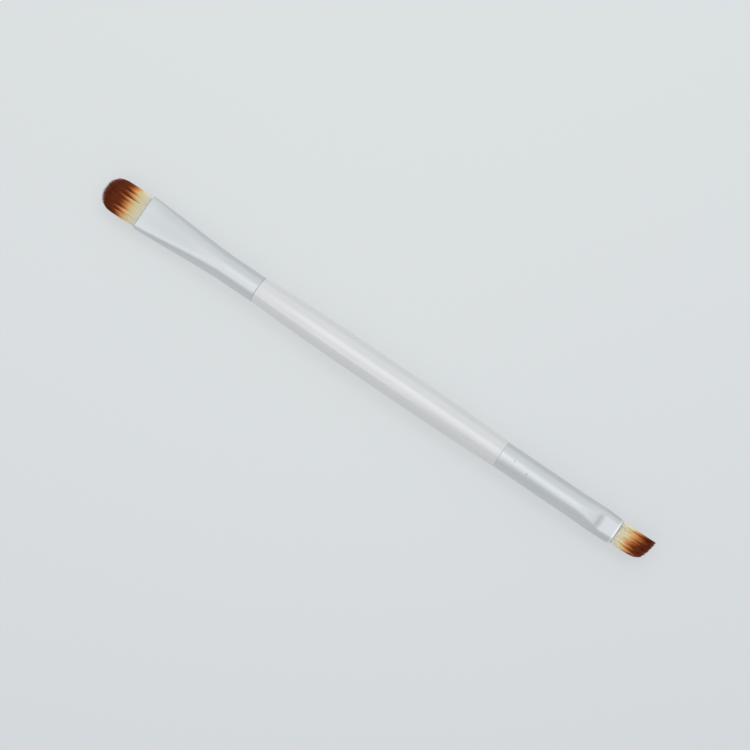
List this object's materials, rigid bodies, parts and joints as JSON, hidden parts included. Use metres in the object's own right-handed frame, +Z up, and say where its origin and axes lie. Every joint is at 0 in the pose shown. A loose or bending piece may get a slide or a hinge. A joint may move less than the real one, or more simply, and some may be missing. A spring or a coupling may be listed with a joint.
{
  "type": "double ended makeup brush",
  "caption": "Slim round handle with a metal ferrule at each end, one flared flat with a domed tuft, the other stamped flat with a slanted tuft.",
  "frame": {"origin": "below the brush's axis, halfway along its length, on the surface that it lies on", "axes": "+X along the brush from the domed tip to the slanted tip, +Y to the slanted tuft's long side, +Z up, square to the flat mouths"},
  "size_m": [0.1658, 0.0098, 0.0082],
  "materials": {
    "handle_plastic": "satin gloss white",
    "ferrule_metal": "satin anodised silver",
    "bristle": "fine synthetic filament, pale at the root and dark brown at the tip",
    "glue": "cured epoxy"
  },
  "bodies": {
    "root": {"handle": "handle_plastic", "dome_ferrule": "ferrule_metal", "dome_bristles": "bristle", "dome_root_glue": "glue", "dome_tenon_glue": "glue", "slant_ferrule": "ferrule_metal", "slant_bristles": "bristle", "slant_root_glue": "glue", "slant_tenon_glue": "glue"}
  },
  "joints": []
}
